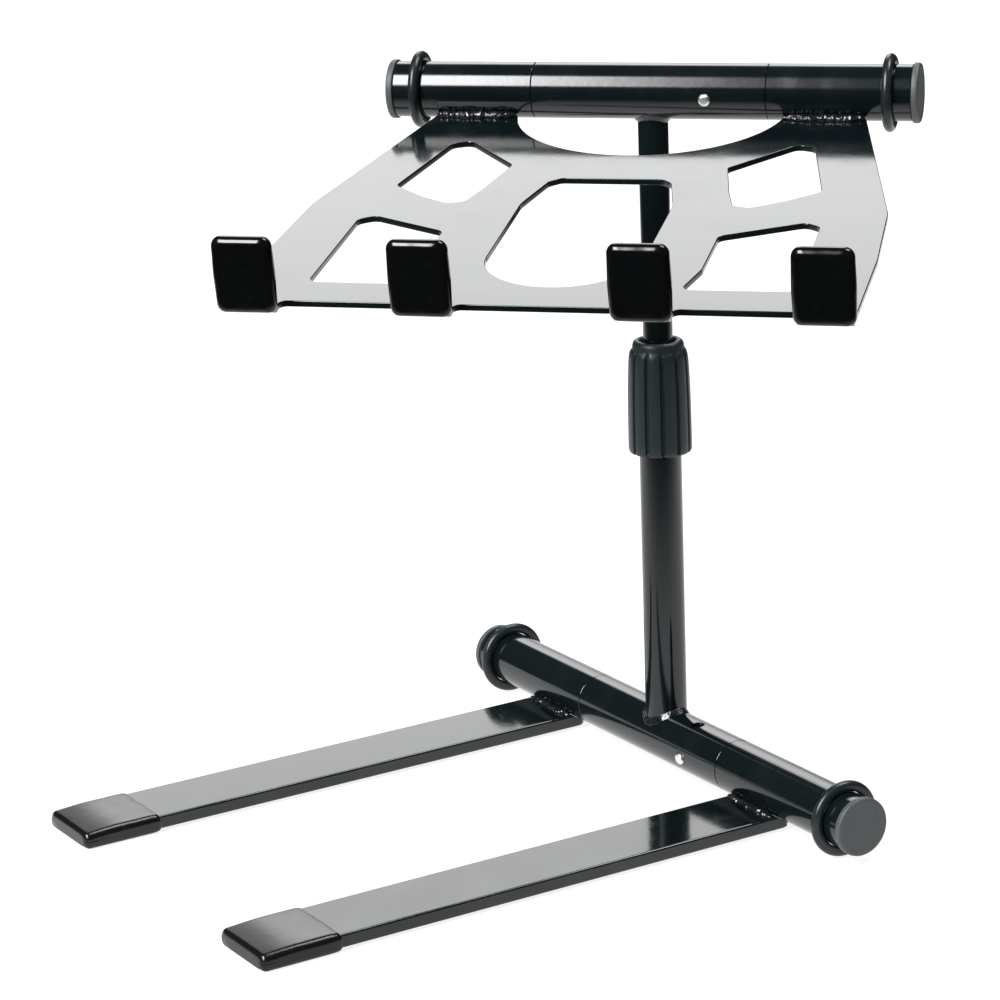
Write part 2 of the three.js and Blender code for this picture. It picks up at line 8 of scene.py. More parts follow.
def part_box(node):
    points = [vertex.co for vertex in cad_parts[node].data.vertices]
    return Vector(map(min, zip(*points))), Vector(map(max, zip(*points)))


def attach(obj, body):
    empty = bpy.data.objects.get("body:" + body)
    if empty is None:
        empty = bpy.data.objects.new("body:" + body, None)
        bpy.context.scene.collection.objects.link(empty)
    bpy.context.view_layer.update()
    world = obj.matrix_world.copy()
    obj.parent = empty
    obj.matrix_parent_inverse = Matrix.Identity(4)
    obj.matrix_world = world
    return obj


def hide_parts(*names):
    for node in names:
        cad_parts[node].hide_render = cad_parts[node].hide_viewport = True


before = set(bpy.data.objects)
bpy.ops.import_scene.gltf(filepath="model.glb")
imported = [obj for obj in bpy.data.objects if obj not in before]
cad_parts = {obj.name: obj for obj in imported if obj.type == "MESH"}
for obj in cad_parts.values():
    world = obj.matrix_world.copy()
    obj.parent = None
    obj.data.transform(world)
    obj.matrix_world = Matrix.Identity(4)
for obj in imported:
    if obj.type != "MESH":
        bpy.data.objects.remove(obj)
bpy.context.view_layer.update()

# ---- The frame's own sizes, in millimetres ------------------------------------------------------
GAP = 0.3
TUBE_R, TUBE_WALL = 14.3, 1.5
BASE_Z, TOP_Z = 19.8, 367.4
BASE_SEAM, TOP_SEAM = 65.0, 60.5
BASE_RING_X, TOP_RING_X = 157.5, 122.0
BASE_END_X, TOP_END_X = 173.5, 137.5
RING_R, RING_SECTION_R = 17.15, 2.65
CAP_R, CAP_FLANGE = 15.2, 3.5
LEGS = ((-100.2, "left"), (92.4, "right"))
LEG_HALF, LEG_THICK, LEG_TOP = 20.5, 7.2, 8.4
LEG_FRONT, LEG_REAR, TIP_REAR, LEG_WELD_HALF = -306.3, 0.0, -264.8, 19.5
POST_R, POST_WALL, POST_TOP = 11.1, 1.4, 215.7
STEM_R, STEM_WALL, STEM_LOW = 7.8, 1.3, 150.3
RIBS = 12
BUTTON_X, TOP_BUTTON_X, BUTTON_R, HOLE_R = 33.0, 29.4, 3.15, 3.5
PLATE_TOP, PLATE_THICK, PLATE_FRONT, PLATE_EDGE, REAR_ARC = -10.0, 3.0, 270.5, 0.45, 69.6
TAB_X, TAB_EDGE, TRAY_WELD_HALF = 89.8, 10.7, 21.0
MIDDLE_HALF, MIDDLE_ARC = 37, 210
HOOKS = (-131.5, -50.0, 50.0, 131.5)
TONGUE_HALF, TONGUE_FACE, TONGUE_TOP, BEND = 12.5, 282.0, 32.2, 2.0
COVER_HALF, COVER_LOW, COVER_TOP, COVER_WALL = 14.5, -1.2, 34.6, 1.9
SWIVEL, TILT = math.radians(44.5), math.radians(8.5)

low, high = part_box("lower_post")
AXIS = Vector(((low.x + high.x) / 2, (low.y + high.y) / 2, 0))
MM = Matrix.Translation(AXIS) @ Matrix.Scale(0.001, 4)
BASE = MM @ Matrix.Translation((0, 0, BASE_Z))
HEAD = MM @ Matrix.Rotation(SWIVEL, 4, "Z")
TOP = HEAD @ Matrix.Translation((0, 0, TOP_Z))
TRAY = TOP @ Matrix.Rotation(TILT, 4, "X")


# ---- Materials ----------------------------------------------------------------------------------
class Nodes:
    """Small wrapper that adds nodes to a material and links them."""

    def __init__(self, name):
        self.material = bpy.data.materials.new(name)
        self.material.use_nodes = True
        self.tree = self.material.node_tree
        self.shader = self.tree.nodes["Principled BSDF"]
        self.place = self.add("ShaderNodeTexCoord").outputs["Object"]

    def add(self, kind, **values):
        node = self.tree.nodes.new(kind)
        for key, value in values.items():
            if hasattr(node, key):
                setattr(node, key, value)
            else:
                node.inputs[key].default_value = value
        return node

    def link(self, out, into):
        self.tree.links.new(out, into)

    def noise(self, scale, detail=3.0, rough=0.5, stretch=None):
        node = self.add("ShaderNodeTexNoise", Scale=scale, Detail=detail, Roughness=rough)
        source = self.place
        if stretch:
            mapping = self.add("ShaderNodeMapping")
            mapping.inputs["Scale"].default_value = stretch
            self.link(source, mapping.inputs["Vector"])
            source = mapping.outputs["Vector"]
        self.link(source, node.inputs["Vector"])
        return node.outputs["Fac"]

    def ramp(self, fac, stops, smooth=False):
        node = self.add("ShaderNodeValToRGB")
        band = node.color_ramp
        band.interpolation = "EASE" if smooth else "LINEAR"
        while len(band.elements) < len(stops):
            band.elements.new(0.5)
        for element, (place, value) in zip(band.elements, stops):
            element.position = place
            element.color = (*value, 1) if isinstance(value, tuple) else (value, value, value, 1)
        self.link(fac, node.inputs["Fac"])
        return node.outputs["Color"]

    def mix(self, fac, a, b, mode="MIX"):
        node = self.add("ShaderNodeMixRGB", blend_type=mode)
        for key, value in (("Fac", fac), ("Color1", a), ("Color2", b)):
            socket = node.inputs[key]
            if isinstance(value, bpy.types.NodeSocket):
                self.link(value, socket)
            elif isinstance(value, tuple):
                socket.default_value = (*value, 1)
            else:
                socket.default_value = value
        return node.outputs["Color"]

    def bump(self, height, distance, strength=1.0, before=None):
        node = self.add("ShaderNodeBump", Strength=strength, Distance=distance)
        self.link(height, node.inputs["Height"])
        if before is not None:
            self.link(before, node.inputs["Normal"])
        return node.outputs["Normal"]

    def specks(self, scale, size):
        """Scattered dots: 1 inside a dot, 0 between them."""
        cells = self.add("ShaderNodeTexVoronoi", Scale=scale)
        self.link(self.place, cells.inputs["Vector"])
        return self.ramp(cells.outputs["Distance"], [(0.0, 1.0), (size, 1.0), (size * 1.6, 0.0)])

    def done(self, color, rough, normal=None, **constants):
        self.link(color, self.shader.inputs["Base Color"])
        self.link(rough, self.shader.inputs["Roughness"])
        if normal is not None:
            self.link(normal, self.shader.inputs["Normal"])
        for key, value in constants.items():
            self.shader.inputs[key.replace("_", " ")].default_value = value
        return self.material


def paint_material(name, dusty, smooth_low, smooth_high, ripple):
    n = Nodes(name)
    cloud = n.noise(9, 3, 0.5)
    smudge = n.ramp(n.noise(34, 5, 0.6, (1, 1, 0.6)), [(0.46, 0.0), (0.72, 1.0)], True)
    fine = n.noise(900, 2, 0.5)
    color = n.ramp(cloud, [(0.3, (0.0016, 0.0036, 0.0045)), (0.7, (0.0026, 0.0052, 0.0062))])
    dots = n.mix(1.0, n.specks(240, 0.03), n.ramp(n.noise(30, 2), [(0.55, 0.0), (0.64, 1.0)]), "MULTIPLY")
    color = n.mix(n.mix(1.0, dots, (dusty, dusty, dusty), "MULTIPLY"), color, (0.3, 0.31, 0.31))
    film = n.mix(1.0, smudge, (dusty * 0.25, dusty * 0.25, dusty * 0.25), "MULTIPLY")
    color = n.mix(film, color, (0.03, 0.035, 0.036))
    rough = n.ramp(n.mix(0.3, smudge, fine), [(0.0, smooth_low), (1.0, smooth_high)])
    peel = n.bump(n.noise(330, 2, 0.4), ripple)
    return n.done(color, rough, n.bump(dots, 0.00006, 0.6, peel), IOR=1.52)


def weld_material():
    n = Nodes("weld_paint")
    patch = n.noise(350, 4, 0.6)
    color = n.ramp(patch, [(0.3, (0.003, 0.0045, 0.005)), (0.75, (0.012, 0.014, 0.015))])
    rough = n.ramp(patch, [(0.3, 0.1), (0.7, 0.24)])
    return n.done(color, rough, n.bump(n.noise(700, 3), 0.00012), IOR=1.55)


def rubber_material(name, tone, rough_low, rough_high, grain, specular, worn_y=None):
    """Smooth rubber; worn_y is the world Y, in metres, of an end that is rubbed dull."""
    n = Nodes(name)
    patch = n.noise(70, 4, 0.6)
    color = n.ramp(patch, [(0.3, tuple(c * 0.75 for c in tone)), (0.7, tone)])
    scuff = n.ramp(n.noise(240, 4, 0.7), [(0.55, 0.0), (0.75, 1.0)])
    faint = n.mix(1.0, scuff, (0.25, 0.25, 0.25), "MULTIPLY")
    color = n.mix(faint, color, tuple(c * 1.9 + 0.003 for c in tone))
    rough = n.ramp(n.mix(0.5, patch, scuff), [(0.0, rough_low), (1.0, rough_high)])
    if worn_y is not None:
        axes = n.add("ShaderNodeSeparateXYZ")
        n.link(n.place, axes.inputs["Vector"])
        worn = n.add("ShaderNodeMapRange", interpolation_type="SMOOTHSTEP",
                     **{"From Min": worn_y, "From Max": worn_y + 0.026, "To Min": 1.0, "To Max": 0.0})
        n.link(axes.outputs["Y"], worn.inputs["Value"])
        facing = n.add("ShaderNodeSeparateXYZ")
        n.link(n.add("ShaderNodeTexCoord").outputs["Normal"], facing.inputs["Vector"])
        on_top = n.ramp(facing.outputs["Z"], [(0.96, 0.0), (0.99, 1.0)])
        rough = n.mix(n.mix(1.0, worn.outputs["Result"], on_top, "MULTIPLY"), rough, (0.5, 0.5, 0.5))
    skin = n.bump(n.noise(1900, 2), grain)
    waves = n.bump(n.noise(160, 2), grain * 5, 0.7, skin)
    return n.done(color, rough, waves, Specular_IOR_Level=specular)


def plastic_material(name, tone, rough_low, rough_high, grain):
    n = Nodes(name)
    patch = n.noise(90, 4, 0.6)
    fleck = n.noise(2600, 2, 0.6)
    darker, lighter = (tuple(c * share for c in tone) for share in (0.82, 1.15))
    color = n.ramp(n.mix(0.4, patch, fleck), [(0.3, darker), (0.7, lighter)])
    rough = n.ramp(fleck, [(0.25, rough_low), (0.75, rough_high)])
    return n.done(color, rough, n.bump(fleck, grain))


def metal_material():
    n = Nodes("bright_metal")
    ring = n.noise(1500, 3, 0.6, (1, 1, 6))
    color = n.ramp(ring, [(0.3, (0.8, 0.8, 0.78)), (0.7, (0.92, 0.92, 0.9))])
    rough = n.ramp(ring, [(0.3, 0.3), (0.7, 0.42)])
    return n.done(color, rough, n.bump(ring, 0.00002), Metallic=1.0)


PAINT = paint_material("gloss_black_paint", 0.25, 0.1, 0.17, 0.00001)
SHEET = paint_material("gloss_black_sheet", 0.5, 0.09, 0.15, 0.000008)
BAR = paint_material("gloss_black_bar", 0.9, 0.09, 0.17, 0.000014)
WELD = weld_material()
RING = rubber_material("ring_rubber", (0.009, 0.014, 0.016), 0.26, 0.4, 0.000003, 0.38)
DIPPED = rubber_material("dipped_rubber", (0.0015, 0.0018, 0.002), 0.12, 0.22, 0.000006, 0.4)
CAP = plastic_material("end_cap_plastic", (0.05, 0.055, 0.058), 0.42, 0.62, 0.00006)
GRIP = plastic_material("collar_plastic", (0.009, 0.018, 0.021), 0.34, 0.5, 0.00004)
INNER = plastic_material("inner_plastic", (0.008, 0.009, 0.01), 0.35, 0.5, 0.00003)
METAL = metal_material()


# ---- Mesh building ------------------------------------------------------------------------------
MOST_OF_SIDE = 0.49   # a corner arc takes at most this share of each side it joins
ROUND = 128           # segments round a tube or a post
CUT_REACH = 60.0      # how far a cutter runs past what it cuts


def finish_piece(name, mesh, body, material, nodes, angle=32, weighted=False):
    """Shades a mesh smooth between its sharp edges, and puts it on its CAD body."""
    mesh.name = name
    mesh.materials.clear()
    mesh.materials.append(material)
    mesh.polygons.foreach_set("use_smooth", [True] * len(mesh.polygons))
    mesh.set_sharp_from_angle(angle=math.radians(angle))
    piece = bpy.data.objects.new(name, mesh)
    bpy.context.scene.collection.objects.link(piece)
    if weighted:
        modifier = piece.modifiers.new("normals", "WEIGHTED_NORMAL")
        modifier.keep_sharp = True
        modifier.weight = 80
    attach(piece, body)
    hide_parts(*nodes)
    return piece


def mesh_from(verts, faces, matrix):
    mesh = bpy.data.meshes.new("made")
    mesh.from_pydata([matrix @ Vector(v) for v in verts], [], faces)
    work = bmesh.new()
    work.from_mesh(mesh)
    bmesh.ops.remove_doubles(work, verts=work.verts, dist=1e-7)
    bmesh.ops.recalc_face_normals(work, faces=work.faces)
    work.to_mesh(mesh)
    work.free()
    return mesh


def fillet(points, steps=5, loop=True):
    """Replaces each (x, y, radius) corner by an arc, and each (x, y) corner by itself."""
    out = []
    for i, point in enumerate(points):
        corner = Vector(point[:2])
        radius = point[2] if len(point) > 2 else 0
        if not radius or (not loop and i in (0, len(points) - 1)):
            out.append(tuple(corner))
            continue
        to_last = Vector(points[i - 1][:2]) - corner
        to_next = Vector(points[(i + 1) % len(points)][:2]) - corner
        half = to_last.angle(to_next) / 2
        reach = min(radius / math.tan(half), to_last.length * MOST_OF_SIDE, to_next.length * MOST_OF_SIDE)
        radius = reach * math.tan(half)
        inward = (to_last.normalized() + to_next.normalized()).normalized()
        middle = corner + inward * (radius / math.sin(half))
        start = corner + to_last.normalized() * reach - middle
        turn = start.angle_signed(corner + to_next.normalized() * reach - middle)
        for k in range(steps + 1):
            out.append(tuple(middle + Matrix.Rotation(-turn * k / steps, 2) @ start))
    return out


def lathe(profile, matrix, segments=128, axis="Z", loop=True):
    """Turns a (radius, height) outline; an open outline starts and ends on the axis."""
    outline = fillet(profile, 4, loop)
    count = len(outline)
    verts = []
    for k in range(segments):
        a = 2 * math.pi * k / segments
        c, s = math.cos(a), math.sin(a)
        for r, h in outline:
            verts.append((r * c, r * s, h) if axis == "Z" else (h, r * c, r * s))
    faces = []
    for k in range(segments):
        here, there = k * count, (k + 1) % segments * count
        for j in range(count if loop else count - 1):
            after = (j + 1) % count
            faces.append((here + j, here + after, there + after, there + j))
    return mesh_from(verts, faces, matrix)


def tidy(mesh):
    """Drops the flat faces that a turned outline leaves on its axis."""
    work = bmesh.new()
    work.from_mesh(mesh)
    bmesh.ops.dissolve_degenerate(work, edges=work.edges, dist=1e-7)
    bmesh.ops.recalc_face_normals(work, faces=work.faces)
    work.to_mesh(mesh)
    work.free()
    return mesh


def slab(loops, z_low, z_high, edge, matrix, steps=2):
    """A flat plate with holes and rounded edges. The first loop is the outside."""
    curve = bpy.data.curves.new("outline", "CURVE")
    curve.dimensions = "2D"
    curve.fill_mode = "BOTH"
    curve.extrude = (z_high - z_low) / 2 - edge
    curve.bevel_depth = edge
    curve.bevel_resolution = steps
    curve.offset = -edge
    for points in loops:
        spline = curve.splines.new("POLY")
        spline.points.add(len(points) - 1)
        for point, (x, y) in zip(spline.points, points):
            point.co = (x, y, 0, 1)
        spline.use_cyclic_u = True
    holder = bpy.data.objects.new("outline", curve)
    bpy.context.scene.collection.objects.link(holder)
    graph = bpy.context.evaluated_depsgraph_get()
    mesh = bpy.data.meshes.new_from_object(holder.evaluated_get(graph))
    bpy.data.objects.remove(holder)
    mesh.transform(matrix @ Matrix.Translation((0, 0, (z_low + z_high) / 2)))
    work = bmesh.new()
    work.from_mesh(mesh)
    bmesh.ops.remove_doubles(work, verts=work.verts, dist=2e-7)
    bmesh.ops.recalc_face_normals(work, faces=work.faces)
    work.to_mesh(mesh)
    work.free()
    return mesh


def cut(mesh, cutters):
    """Subtracts closed meshes from a mesh."""
    holder = bpy.data.objects.new("cut", mesh)
    bpy.context.scene.collection.objects.link(holder)
    tools = []
    for i, cutter in enumerate(cutters):
        tool = bpy.data.objects.new(f"tool_{i}", cutter)
        bpy.context.scene.collection.objects.link(tool)
        modifier = holder.modifiers.new("cut", "BOOLEAN")
        modifier.operation = "DIFFERENCE"
        modifier.solver = "EXACT"
        modifier.object = tool
        tools.append(tool)
    graph = bpy.context.evaluated_depsgraph_get()
    result = bpy.data.meshes.new_from_object(holder.evaluated_get(graph))
    for o in [holder, *tools]:
        bpy.data.objects.remove(o)
    return result


def round_normals(mesh, matrix, axis, radii):
    """Gives a drilled tube the normals of a true cylinder on its round walls."""
    inverse = matrix.inverted()
    turn = matrix.to_3x3().normalized()
    normals = []
    for polygon in mesh.polygons:
        for index in polygon.loop_indices:
            place = inverse @ mesh.vertices[mesh.loops[index].vertex_index].co
            flat = Vector((0, place.y, place.z)) if axis == "X" else Vector((place.x, place.y, 0))
            outward = (turn @ flat).normalized()
            on_wall = any(abs(flat.length - r) < 0.06 for r in radii)
            facing = outward.dot(polygon.normal)
            if on_wall and abs(facing) > 0.97:
                normals.append(outward if facing > 0 else -outward)
            else:
                normals.append(polygon.normal.copy())
    mesh.normals_split_custom_set(normals)


def swept(centres, frames, sections, matrix, closed=False):
    """Skins a row of cross-sections; frames give each one's two directions."""
    count = len(sections[0])
    verts = []
    for centre, (u, v), section in zip(centres, frames, sections):
        verts.extend(Vector(centre) + Vector(u) * a + Vector(v) * b for a, b in section)
    faces = []
    rows = len(centres)
    for k in range(rows if closed else rows - 1):
        here, there = k * count, (k + 1) % rows * count
        for j in range(count):
            after = (j + 1) % count
            faces.append((here + j, here + after, there + after, there + j))
    if not closed:
        faces.append(tuple(range(count - 1, -1, -1)))
        faces.append(tuple(range((rows - 1) * count, rows * count)))
    return mesh_from(verts, faces, matrix)


def join(meshes):
    work = bmesh.new()
    for mesh in meshes:
        work.from_mesh(mesh)
    out = bpy.data.meshes.new("joined")
    work.to_mesh(out)
    work.free()
    return out


def ring_points(count):
    return [(math.cos(2 * math.pi * k / count), math.sin(2 * math.pi * k / count)) for k in range(count)]


# ---- Tubes, caps, rings and buttons -------------------------------------------------------------
def tube(name, x_low, x_high, matrix, body, holes=()):
    inner = TUBE_R - TUBE_WALL
    outline = [(inner, x_low, 0.2), (TUBE_R, x_low, 0.4), (TUBE_R, x_high, 0.4), (inner, x_high, 0.2)]
    mesh = lathe(outline, matrix, ROUND, "X")
    if holes:
        cutters = []
        for x, angle in holes:
            place = matrix @ Matrix.Rotation(-angle, 4, "X") @ Matrix.Translation((x, -TUBE_R, 0))
            drill = [(0, -6), (HOLE_R, -6), (HOLE_R, 1.15), (HOLE_R + 0.7, 2.2), (HOLE_R + 0.7, 6), (0, 6)]
            cutters.append(lathe(drill, place @ Matrix.Rotation(math.pi / 2, 4, "X"), 48, "Z", False))
        mesh = cut(mesh, cutters)
    finish_piece(f"{name}_smooth", mesh, body, PAINT, [name], 40)
    round_normals(mesh, matrix, "X", (TUBE_R, inner))


def end_cap(name, side, outer, matrix, body):
    inside = outer - CAP_FLANGE
    outline = [
        (0, outer - 0.35), (CAP_R - 3.4, outer - 0.3, 4), (CAP_R - 2.6, outer - 0.02, 1.5),
        (CAP_R, outer, 1.5), (CAP_R, inside, 0.5), (12.5, inside, 0.2), (12.2, inside - 13, 0.5),
        (10.1, inside - 13), (10.1, inside - 1), (0, inside - 1),
    ]
    mesh = tidy(lathe([(r, h * side, *more) for r, h, *more in outline], matrix, 96, "X", False))
    finish_piece(f"{name}_moulded", mesh, body, CAP, [name], 40)


def rubber_ring(name, x, matrix, body):
    rows, count = 128, 28
    centres, frames, sections = [], [], []
    for k in range(rows):
        a = 2 * math.pi * k / rows
        out = Vector((0, math.cos(a), math.sin(a)))
        centres.append(Vector((x, 0, 0)) + out * RING_R)
        frames.append(((1, 0, 0), out))
        size = RING_SECTION_R * (1 - 0.006 * abs(math.sin(1.5 * a + x)))
        section = []
        for j, (c, s) in enumerate(ring_points(count)):
            line = 0.07 if j in (0, count // 2) else 0.0
            # The inner half is pressed flat against the tube.
            depth = s * min(size, RING_SECTION_R) if s > 0 else -RING_SECTION_R * (1 - c ** 4) ** 0.25
            section.append((c * (size + line), depth))
        sections.append(section)
    mesh = swept(centres, frames, sections, matrix, True)
    finish_piece(f"{name}_seal", mesh, body, RING, [name], 60)


def button(name, x, angle, matrix, body):
    tip = TUBE_R + 1.7
    outline = [(0, 7.9), (4.4, 7.9, 0.3), (4.4, 9.2, 0.3), (BUTTON_R, 9.2), (BUTTON_R, tip, 1.6), (0, tip)]
    place = matrix @ Matrix.Rotation(-angle, 4, "X") @ Matrix.Translation((x, 0, 0))
    mesh = tidy(lathe(outline, place @ Matrix.Rotation(math.pi / 2, 4, "X"), 64, "Z", False))
    finish_piece(f"{name}_dome", mesh, body, METAL, [name], 50)


def cross_tube(prefix, matrix, seam, ring_x, end_x, fixed, sleeve_matrix, sleeve_body, holes):
    outer = end_x - CAP_FLANGE - GAP
    tube(f"{prefix}_centre_sleeve", -seam, seam, sleeve_matrix, sleeve_body, holes)
    for side, word in ((-1, "left"), (1, "right")):
        ends = sorted((side * (seam + GAP), side * outer))
        tube(f"{prefix}_end_tube_{word}", *ends, matrix, fixed)
        end_cap(f"{prefix}_end_cap_{word}", side, end_x, matrix, fixed)
        rubber_ring(f"{prefix}_rubber_ring_{word}", side * ring_x, matrix, fixed)


base_holes = ((BUTTON_X, -TILT), (BUTTON_X, math.pi / 2 - TILT))
cross_tube("base", BASE, BASE_SEAM, BASE_RING_X, BASE_END_X, "base", BASE, "mast", base_holes)
cross_tube("top", TRAY, TOP_SEAM, TOP_RING_X, TOP_END_X, "tray", TOP, "head", ((TOP_BUTTON_X, -TILT),))
button("base_snap_button", BUTTON_X, -TILT, BASE, "base_button")
button("top_snap_button", TOP_BUTTON_X, 0, TRAY, "top_button")


# ---- Legs and their dipped tips -----------------------------------------------------------------
def tube_notch(x, matrix):
    """A cutter that clears a cross tube round the given place along it."""
    radius = TUBE_R + GAP
    ends = [(0, x - CUT_REACH), (radius, x - CUT_REACH), (radius, x + CUT_REACH), (0, x + CUT_REACH)]
    return lathe(ends, matrix, ROUND, "X", False)


def leg(name, x):
    loop = fillet([
        (x - LEG_HALF, LEG_FRONT, 3), (x + LEG_HALF, LEG_FRONT, 3),
        (x + LEG_HALF, LEG_REAR, 5), (x - LEG_HALF, LEG_REAR, 5),
    ])
    mesh = slab([loop], LEG_TOP - LEG_THICK, LEG_TOP, 1.3, MM, 4)
    mesh = cut(mesh, [tube_notch(x, BASE)])
    finish_piece(f"{name}_bar", mesh, "base", BAR, [name], 30, True)


def leg_tip(name, x, seed):
    """Rubber dipped over the end of a leg, with soft edges and a slightly uneven lip."""
    half_width = LEG_HALF + 1.8
    height = LEG_TOP + 1.5
    front = LEG_FRONT - 1.8
    length = TIP_REAR - front
    nose, plan_corner, lip_start = 2.6, 3.4, length - 7
    count = 112
    turns = [math.pi / 2 * k / 8 for k in range(9)]
    rows = [(nose * (1 - math.cos(turn)), nose * (1 - math.sin(turn))) for turn in turns]
    rows += [(d, 0) for d in (3.4, 5, 8, 13, 19, 25, 31, 35, 38)]
    rows += [(length - 2.4, 0.1), (length - 1.2, 0.3), (length - 0.5, 0.6), (length, 1.1)]
    verts, faces = [], []
    for depth, shrink in rows:
        past = max(0.0, plan_corner - depth)
        narrow = plan_corner - math.sqrt(plan_corner ** 2 - past ** 2)
        wide = half_width - max(narrow, shrink * 0.6)
        top, bottom = height - shrink, min(shrink, 1.1)
        corners = [(-wide, bottom, 2.2), (wide, bottom, 2.2), (wide, top, 3.6), (-wide, top, 3.6)]
        loop = fillet(corners, 8)
        for a, b in resample(loop, count):
            rear = max(0.0, (depth - lip_start) / (length - lip_start))
            wave = noise.noise(Vector((a * 0.11, b * 0.15, seed))) * 1.3 * rear
            swell = 0.2 * noise.noise(Vector((a * 0.07, depth * 0.08, seed + 5))) * min(1, depth / 6)
            droop = 1.2 * (1 - min(1, depth / 26)) ** 2 + 0.5 * abs(a / half_width) ** 4
            lift = swell - droop if b > height * 0.5 else 0.0
            verts.append((x + a, front + depth + wave, max(0.0, b + lift)))
    rear_row = (len(rows) - 1) * count
    for k in range(len(rows) - 1):
        for j in range(count):
            after = (j + 1) % count
            faces.append((k * count + j, k * count + after, (k + 1) * count + after, (k + 1) * count + j))
    faces.append(tuple(range(count - 1, -1, -1)))
    lip = len(verts)
    for j in range(count):
        vx, vy, vz = verts[rear_row + j]
        inside = x + max(-LEG_HALF, min(LEG_HALF, vx - x))
        verts.append((inside, vy - 0.2, max(LEG_TOP - LEG_THICK, min(LEG_TOP, vz))))
    for j in range(count):
        after = (j + 1) % count
        faces.append((rear_row + j, rear_row + after, lip + after, lip + j))
    faces.append(tuple(range(lip, lip + count)))
    mesh = mesh_from(verts, faces, MM)
    finish_piece(f"{name}_dipped", mesh, "base", TIP, [name], 50)


def resample(loop, count):
    """Evenly spaced points along a closed loop."""
    points = [Vector(p) for p in loop]
    lengths = [(points[(i + 1) % len(points)] - p).length for i, p in enumerate(points)]
    total = sum(lengths)
    out, i, gone = [], 0, 0.0
    for k in range(count):
        want = total * k / count
        while gone + lengths[i] < want:
            gone += lengths[i]
            i += 1
        share = (want - gone) / lengths[i] if lengths[i] else 0
        out.append(points[i].lerp(points[(i + 1) % len(points)], share))
    return out


TIP_FRONT_Y = AXIS.y + LEG_FRONT / 1000
TIP = rubber_material("tip_rubber", (0.004, 0.0045, 0.005), 0.14, 0.34, 0.00003, 0.42, TIP_FRONT_Y)
for index, (x, word) in enumerate(LEGS):
    leg(f"leg_{word}", x)
    leg_tip(f"leg_tip_{word}", x, 3.0 + 7 * index)


# ---- Welds --------------------------------------------------------------------------------------
def lumpy(radius, place, seed, amount):
    """A radius made uneven by two sizes of lump."""
    coarse = noise.noise(place * 0.32 + Vector((seed, 0, 0)))
    fine = noise.noise(place * 0.9 + Vector((0, seed, 0)))
    return radius * (1 + amount * (coarse + 0.55 * fine))


def bead_line(name, x, half, y, z, size, matrix, body, seed, drop):
    """A flat, uneven run of weld along the tube, fading out at both ends."""
    rows = 150
    centres, frames, sections = [], [], []
    for k in range(rows + 1):
        t = k / rows
        end = min(1.0, 7 * min(t, 1 - t) + 0.02)
        place = half * (2 * t - 1)
        wander = 0.6 * noise.noise(Vector((place * 0.25, seed, 9.0)))
        height = 0.78 + 0.3 * noise.noise(Vector((place * 0.45, seed, 2.0)))
        r = size * math.sqrt(end)
        centres.append((x + place, y + wander, z))
        frames.append(((0, 1, 0), (0, 0, 1)))
        sections.append([])
        for c, s in ring_points(24):
            here = Vector((place, c * r, s * r))
            reach = lumpy(r, here, seed, 0.34)
            sections[-1].append((c * reach * 1.25, s * reach * drop * height))
    mesh = swept(centres, frames, sections, matrix)
    finish_piece(f"{name}_bead", mesh, body, WELD, [name], 70)


def bead_saddle(name, radius, tube_z, sign, reach, matrix, body, seed, amount):
    """A hollow-faced weld round a post where it meets the cross tube."""
    rows = 180
    centres, frames, sections = [], [], []
    for k in range(rows):
        a = 2 * math.pi * k / rows
        out = Vector((math.cos(a), math.sin(a), 0))
        place = out * radius
        height = math.sqrt(TUBE_R ** 2 - place.y ** 2)
        tube_out = Vector((0, place.y, sign * height)).normalized()
        along_tube = (out - tube_out * out.dot(tube_out)).normalized()
        centres.append((place.x, place.y, tube_z + sign * height))
        frames.append((along_tube, (0, 0, sign)))
        section = [(-0.8, reach), (-0.8, -0.8), (reach, -0.8)]
        for j in range(11):
            t = j / 10
            spot = place + out * reach * (1 - t) + Vector((0, 0, reach * t))
            size = lumpy(reach, spot, seed, amount)
            bulge = 0.16 * size * math.sin(math.pi * t)
            section.append((size * (1 - t) ** 1.6 + bulge, size * t ** 1.6 + bulge))
        sections.append(section)
    mesh = swept(centres, frames, sections, matrix, True)
    finish_piece(f"{name}_bead", mesh, body, WELD, [name], 70)


for index, (x, word) in enumerate(LEGS):
    side = (-1, 1)[index]
    bead_line(f"leg_weld_{word}", x, LEG_WELD_HALF, -11.4, LEG_TOP + 0.4, 2.2,
              MM, "base", 1.5 + index, 1.0)
    bead_line(f"tray_weld_{word}", side * TAB_X, TRAY_WELD_HALF, -TAB_EDGE - 2.6, PLATE_TOP + 0.9, 2.3,
              TRAY, "tray", 4.5 + index, 1.1)
bead_saddle("lower_post_weld", POST_R, BASE_Z, 1, 2.2, MM, "mast", 0.4, 0.2)
bead_saddle("upper_post_weld", STEM_R, TOP_Z, -1, 1.8, HEAD, "head", 1.9, 0.2)


# ---- Mast ---------------------------------------------------------------------------------------
def pipe(name, outer, inner, z_low, z_high, matrix, body, tube_z):
    outline = [(inner, z_low, 0.2), (outer, z_low, 0.4), (outer, z_high, 0.4), (inner, z_high, 0.2)]
    mesh = lathe(outline, matrix, ROUND)
    mesh = cut(mesh, [tube_notch(0, matrix @ Matrix.Translation((0, 0, tube_z)))])
    finish_piece(f"{name}_smooth", mesh, body, PAINT, [name], 40)
    round_normals(mesh, matrix, "Z", (outer, inner))


